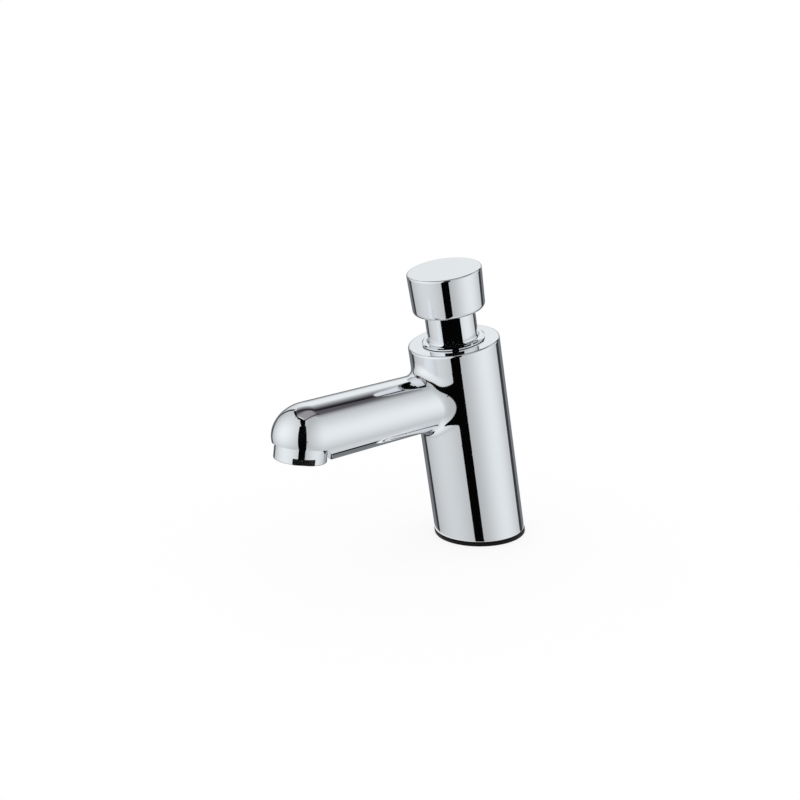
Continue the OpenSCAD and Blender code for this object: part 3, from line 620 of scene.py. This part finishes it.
spigot_low = thread_low - BONNET_SPIGOT_LEN
groove_r = BONNET_THREAD_R - RING_GROOVE_W
groove_high = RING_GROOVE_LOW + RING_GROOVE_W
bonnet = turned("bonnet_neck", [
    (GLAND_R, spigot_low), (BONNET_SPIGOT_R, spigot_low), (BONNET_SPIGOT_R, thread_low),
    (BONNET_THREAD_R, thread_low), (BONNET_THREAD_R, RING_GROOVE_LOW), (groove_r, RING_GROOVE_LOW),
    (groove_r, groove_high), (BONNET_THREAD_R, groove_high), (BONNET_THREAD_R, BODY_TOP),
    (COLLAR_R - COLLAR_UNDERCUT, BODY_TOP), (COLLAR_R - COLLAR_UNDERCUT, BODY_TOP + COLLAR_GAP),
    (COLLAR_R, BODY_TOP + COLLAR_GAP), (COLLAR_R, BODY_TOP + COLLAR_T - COLLAR_SLOPE_H),
    (COLLAR_R - COLLAR_SLOPE_W, BODY_TOP + COLLAR_T),
    *arc(NECK_R + COVE_R, BODY_TOP + COLLAR_T + COVE_R, COVE_R, 270, 180),
    (NECK_R, NECK_TOP - NECK_LEAD), (NECK_R - NECK_LEAD, NECK_TOP), (NECK_BORE_R, NECK_TOP),
    (NECK_BORE_R, SPRING_SEAT), (BUSH_BORE_R, SPRING_SEAT), (BUSH_BORE_R, GLAND_TOP), (GLAND_R, GLAND_TOP),
    (GLAND_R, spigot_low)], AXIS)
cut(bonnet, *flat_cutters(AXIS, NECK_FLATS_TURN, NECK_FLATS, BODY_TOP + COLLAR_T, NECK_TOP + MM, COLLAR_R))
polish(bonnet)
dress(bonnet, "tap", "chromed_brass", "bonnet")
# Painted shade: the slit under the collar takes the dark skin
paint_hollow_shade(bonnet, COLLAR_R - COLLAR_UNDERCUT - FIT, COLLAR_R, BODY_TOP + COLLAR_GAP + WELD)

ring_top = -OUTLET_DROP - SEAM
ring_low = ring_top - HOUSING_H
aerator = turned("aerator_ring", [
    (HOUSING_LIP_R, ring_low),
    *arc(HOUSING_R - HOUSING_EDGE, ring_low + HOUSING_EDGE, HOUSING_EDGE, -90, 0),
    (HOUSING_R, ring_top), (OUTLET_THREAD_R - FIT, ring_top), (OUTLET_THREAD_R - FIT, ring_top + SPIGOT_LEN),
    (HOUSING_BORE_R, ring_top + SPIGOT_LEN), (HOUSING_BORE_R, ring_low + HOUSING_LIP_T),
    (HOUSING_LIP_R, ring_low + HOUSING_LIP_T), (HOUSING_LIP_R, ring_low)], OUTLET)
cut(aerator, *flat_cutters(OUTLET, HOUSING_FLATS_TURN, HOUSING_FLATS, ring_low - MM,
                           ring_low + HOUSING_FLATS_H, HOUSING_R))
polish(aerator)
dress(aerator, "tap", "chromed_brass", "aerator_housing")


# Gasket: a ring cut level like the foot of the body, with a soft outer edge

def base_gasket():
    """The rubber ring under the body, leaning with it and level above and below."""
    outer = BODY_R + GASKET_LIP
    inner = BODY_R - GASKET_W
    piece = turned("foot_gasket", [
        (inner, 0),
        *arc(outer - GASKET_ROUND, GASKET_ROUND, GASKET_ROUND, -90, 0),
        *arc(outer - GASKET_ROUND, BASE_Z - GASKET_ROUND, GASKET_ROUND, 0, 90),
        (inner, BASE_Z), (inner, 0)], LEVEL)
    for vertex in piece.data.vertices:
        x, y, z = vertex.co
        reach = math.hypot(x, y)
        turn = math.atan2(x, -y)
        vertex.co = on_body(turn, (z + reach * math.cos(turn) * math.sin(LEAN)) / math.cos(LEAN), reach)
    return piece


gasket = base_gasket()
polish(gasket)
dress(gasket, "tap", "black_rubber", "base_gasket")


# Return spring: one round wire with flat ends, wound by its turns

def return_spring():
    """The spring's wire as a bevelled curve, made into a mesh."""
    pitch = (SPRING_LENGTH - SPRING_WIRE) / (SPRING_TURNS - 2 * SPRING_FLAT)
    curve = bpy.data.curves.new("return_spring_wire", "CURVE")
    curve.dimensions = "3D"
    curve.bevel_depth = SPRING_WIRE / 2
    curve.bevel_resolution = WIRE_STEPS
    curve.use_fill_caps = True
    steps = SPRING_TURNS * COIL_STEPS
    spline = curve.splines.new("POLY")
    spline.points.add(steps)
    for i, point in enumerate(spline.points):
        turns = SPRING_TURNS * i / steps
        rise = pitch * min(max(turns - SPRING_FLAT, 0), SPRING_TURNS - 2 * SPRING_FLAT)
        angle = math.tau * turns
        height = SPRING_SEAT + SPRING_WIRE / 2 + rise
        point.co = (SPRING_R * math.cos(angle), SPRING_R * math.sin(angle), height, 1)
    wire = bpy.data.objects.new("return_spring_wire", curve)
    bpy.context.scene.collection.objects.link(wire)
    bpy.ops.object.select_all(action="DESELECT")
    wire.select_set(True)
    bpy.context.view_layer.objects.active = wire
    bpy.ops.object.convert(target="MESH")
    wire = bpy.context.object
    tidy_shell(wire)
    place_piece(wire, AXIS)
    return wire


spring = return_spring()
bpy.ops.object.shade_smooth_by_angle(angle=2 * SHARP)
dress(spring, "tap", "stainless_steel", "return_spring")
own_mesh(spring)

# The other nodes keep their solids and take the finish of their slot
for subpart in frame["record"]["subparts"]:
    node = frame["nodes"][subpart["node"]]
    if not node.hide_render:
        node.data.materials.clear()
        node.data.materials.append(FINISHES[subpart["material_slot"]])


# Camera, as the photograph was taken
CAMERA_AZIMUTH = math.radians(55.03)
CAMERA_ELEVATION = math.radians(16.68)
CAMERA_ROLL = math.radians(-0.81)
CAMERA_DISTANCE = 871.44 * MM
CAMERA_TARGET = Vector((-8.12, -46.13, 80.48)) * MM
CAMERA_LENS = 75.58
CAMERA_SENSOR = 36

camera_back = Vector((math.sin(CAMERA_AZIMUTH) * math.cos(CAMERA_ELEVATION),
                      -math.cos(CAMERA_AZIMUTH) * math.cos(CAMERA_ELEVATION),
                      math.sin(CAMERA_ELEVATION)))
camera_data = bpy.data.cameras.new("camera")
camera_data.lens = CAMERA_LENS
camera_data.sensor_width = CAMERA_SENSOR
camera = bpy.data.objects.new("camera", camera_data)
bpy.context.scene.collection.objects.link(camera)
camera.rotation_mode = "QUATERNION"
camera.location = CAMERA_TARGET + camera_back * CAMERA_DISTANCE
look = (-camera_back).to_track_quat("-Z", "Y")
camera.rotation_quaternion = look @ Matrix.Rotation(CAMERA_ROLL, 3, "Z").to_quaternion()
bpy.context.scene.camera = camera


# Studio: a white room with four soft boxes, one of them below, and dark panels that only reflections see

# Edges of a panel by name, as the side of its plane on which they lie
PANEL_EDGES = {"right": ("X", 0.5), "left": ("X", -0.5), "head": ("Y", 0.5), "foot": ("Y", -0.5)}


def towards(azimuth, elevation):
    """The direction of an azimuth and elevation in degrees, from the tap: to the camera's right, and up."""
    turn = CAMERA_AZIMUTH + math.radians(azimuth)
    rise = math.radians(elevation)
    return Vector((math.sin(turn) * math.cos(rise), -math.cos(turn) * math.cos(rise), math.sin(rise)))


def panel(name, centre, facing, upright, width, height, shade, fades=None):
    """A flat panel that glows in one shade, seen only in reflections.

    An edge named in fades goes soft inwards over that share of the panel. The head points along upright.
    """
    bpy.ops.object.select_all(action="DESELECT")
    bpy.ops.mesh.primitive_plane_add(size=1, location=centre)
    piece = bpy.context.object
    piece.name = name
    piece.scale = (width, height, 1)
    piece.rotation_mode = "QUATERNION"
    turned_to = Matrix((upright.cross(facing), upright, facing)).transposed()
    piece.rotation_quaternion = turned_to.to_quaternion()
    material, tree, place = new_material(name)
    glow = add_node(tree, "ShaderNodeEmission", {"Color": colour(shade), "Strength": 1})
    clear = add_node(tree, "ShaderNodeBsdfTransparent")
    sides = add_node(tree, "ShaderNodeSeparateXYZ", {"Vector": place})
    surface = glow.outputs["Emission"]
    for name_of_edge, reach in (fades or {}).items():
        side, edge = PANEL_EDGES[name_of_edge]
        share = add_node(tree, "ShaderNodeMapRange", {
            "Value": sides.outputs[side], "From Min": edge, "From Max": edge * (1 - 2 * reach)})
        mixed = add_node(tree, "ShaderNodeMixShader", {
            "Fac": share.outputs["Result"], 1: clear.outputs["BSDF"], 2: surface})
        surface = mixed.outputs["Shader"]
    add_node(tree, "ShaderNodeOutputMaterial", {"Surface": surface})
    piece.data.materials.append(material)
    piece.visible_camera = False
    piece.visible_diffuse = False
    piece.visible_shadow = False
    piece.visible_transmission = False


FRONT = towards(0, 0)
RIGHT = towards(90, 0)
TOP = Vector((0, 0, 1))


def room_point(right, front, up):
    """A point of the room, by its millimetres to the right of the tap, in front of it and above its base."""
    return (RIGHT * right + FRONT * front + TOP * up) * MM


def ceiling_strip(name, start, end, width, shade, fades=None):
    """A straight strip of the ceiling between two points (right, front), in millimetres."""
    first = room_point(*start, CEILING)
    last = room_point(*end, CEILING)
    along = last - first
    panel(name, (first + last) / 2, -TOP, along.normalized(), width, along.length, shade, fades)


DARK = "#050505"
DIM = "#3C3D41"

# A dark slit in front of the tap, which gives its black stripes, and the dark edge of the ceiling
SLIT_WALL = 1300
CEILING = 980
panel("front_slit", room_point(0, SLIT_WALL, -1700), -FRONT, TOP, width=546 * MM, height=6300 * MM,
      shade=DARK)
panel("slit_foot", room_point(315, SLIT_WALL, -207), -FRONT, TOP, width=90 * MM, height=60 * MM, shade=DARK)
ceiling_strip("slit_head", (25, 1100), (-100, 385), width=235 * MM, shade=DARK)
ceiling_strip("ceiling_front_edge", (-60, 450), (-305, 200), width=95 * MM, shade=DARK)
ceiling_strip("ceiling_left_edge", (-285, 230), (-405, -85), width=48 * MM, shade=DARK)
ceiling_strip("ceiling_left_corner", (-395, -60), (-498, -520), width=80 * MM, shade="#161618")
ceiling_strip("ceiling_right_edge", (0, 420), (400, -70), width=130 * MM, shade="#403E42",
              fades={"right": 0.45, "left": 0.45})

# The ceiling, a mauve patch and a dark band on the spout's top. A lower panel hides those above it
panel("ceiling_gap", room_point(190, -355, CEILING + 20), -TOP, FRONT, width=1240 * MM, height=1090 * MM,
      shade="#5C595E", fades={"right": 0.3, "head": 0.25, "foot": 0.45})
panel("ceiling_line", room_point(20, -320, CEILING + 5), -TOP, FRONT, width=940 * MM, height=210 * MM,
      shade="#202022", fades={"head": 0.25, "foot": 0.5, "right": 0.1})
panel("ceiling", room_point(10, -30, CEILING + 10), -TOP, (FRONT + RIGHT).normalized(), width=560 * MM,
      height=560 * MM, shade="#9F9A9D", fades={"head": 0.15, "foot": 0.3, "right": 0.2})

# Grey walls behind the tap, which give its outlines
BACK_WALL = -600
panel("back_edge", room_point(45, BACK_WALL, -465), FRONT, TOP, width=1650 * MM, height=1570 * MM, shade=DIM,
      fades={"head": 0.19})
panel("back", room_point(0, BACK_WALL + 10, -480), FRONT, TOP, width=1000 * MM, height=1570 * MM,
      shade="#7C7E82", fades={"head": 0.19})
panel("back_foot", room_point(45, BACK_WALL, -1690), FRONT, TOP, width=1650 * MM, height=880 * MM, shade=DARK)
panel("left_flag", room_point(-498, BACK_WALL, 480), FRONT, TOP, width=112 * MM, height=960 * MM, shade=DIM)
panel("right_flag", room_point(640, BACK_WALL, 480), FRONT, TOP, width=300 * MM, height=960 * MM, shade=DIM)


# Floor: its size, its glow for the camera, and how far from its middle mirrors show it

FLOOR_SIZE = 40
FLOOR_GLOW = 0.8
FLOOR_MIRROR_START = 27 * MM
FLOOR_MIRROR_END = 29 * MM


def floor_paper():
    """White paper that keeps the shadow. Mirrors show it close round the foot, and the room beyond."""
    material, tree, place = new_material("floor_paper")
    paper = add_node(tree, "ShaderNodeBsdfDiffuse", {"Color": colour("#FFFFFF")})
    glow = add_node(tree, "ShaderNodeEmission", {"Color": colour("#FFFFFF"), "Strength": 1})
    ray = add_node(tree, "ShaderNodeLightPath")
    lift = add_node(tree, "ShaderNodeMath", {0: ray.outputs["Is Camera Ray"], 1: FLOOR_GLOW},
                    operation="MULTIPLY")
    lifted = add_node(tree, "ShaderNodeMixShader", {
        "Fac": lift.outputs["Value"], 1: paper.outputs["BSDF"], 2: glow.outputs["Emission"]})
    reach = add_node(tree, "ShaderNodeVectorMath", {0: place}, operation="LENGTH")
    close = add_node(tree, "ShaderNodeMapRange", {
        "Value": reach.outputs["Value"], "From Min": FLOOR_MIRROR_END, "From Max": FLOOR_MIRROR_START})
    clear = add_node(tree, "ShaderNodeBsdfTransparent")
    mirrored = add_node(tree, "ShaderNodeMixShader", {
        "Fac": close.outputs["Result"], 1: clear.outputs["BSDF"], 2: glow.outputs["Emission"]})
    surface = add_node(tree, "ShaderNodeMixShader", {
        "Fac": ray.outputs["Is Glossy Ray"], 1: lifted.outputs["Shader"], 2: mirrored.outputs["Shader"]})
    add_node(tree, "ShaderNodeOutputMaterial", {"Surface": surface.outputs["Shader"]})
    return material


bpy.ops.object.select_all(action="DESELECT")
bpy.ops.mesh.primitive_plane_add(size=FLOOR_SIZE)
floor = bpy.context.object
floor.name = "floor"
floor.data.materials.append(floor_paper())


# Room: soft boxes on grey, which only mirrors show. Each has its azimuth and elevation, fade and level

SOFT_BOXES = ((75, 0, 2.7, 0.99), (-65, 18, 1.45, 1.04), (175, 35, 5, 1), (0, -90, 3, 0.97))
ROOM_LEVEL = 0.5

scene = bpy.context.scene
scene.view_settings.view_transform = "Standard"
world = bpy.data.worlds.new("studio_room")
scene.world = world
world.use_nodes = True
sky = world.node_tree
sky.nodes.clear()
direction = add_node(sky, "ShaderNodeTexCoord").outputs["Generated"]
level = ROOM_LEVEL
for azimuth, elevation, fade, top in SOFT_BOXES:
    facing = add_node(sky, "ShaderNodeVectorMath", {0: direction, 1: towards(azimuth, elevation)},
                      operation="DOT_PRODUCT")
    ahead = add_node(sky, "ShaderNodeMath", {0: facing.outputs["Value"], 1: 0}, operation="MAXIMUM")
    near = add_node(sky, "ShaderNodeMath", {0: ahead.outputs["Value"], 1: fade}, operation="POWER")
    box = add_node(sky, "ShaderNodeMapRange", {
        "Value": near.outputs["Value"], "To Min": ROOM_LEVEL, "To Max": top})
    brightest = add_node(sky, "ShaderNodeMath", {0: box.outputs["Result"], 1: level}, operation="MAXIMUM")
    level = brightest.outputs["Value"]
ray = add_node(sky, "ShaderNodeLightPath")
room = add_node(sky, "ShaderNodeBackground", {"Color": colour("#F9FCFD"), "Strength": level})
white = add_node(sky, "ShaderNodeBackground", {"Color": colour("#FFFFFF"), "Strength": 1})
backdrop = add_node(sky, "ShaderNodeMixShader", {
    "Fac": ray.outputs["Is Glossy Ray"], 1: white.outputs["Background"], 2: room.outputs["Background"]})
add_node(sky, "ShaderNodeOutputWorld", {"Surface": backdrop.outputs["Shader"]})
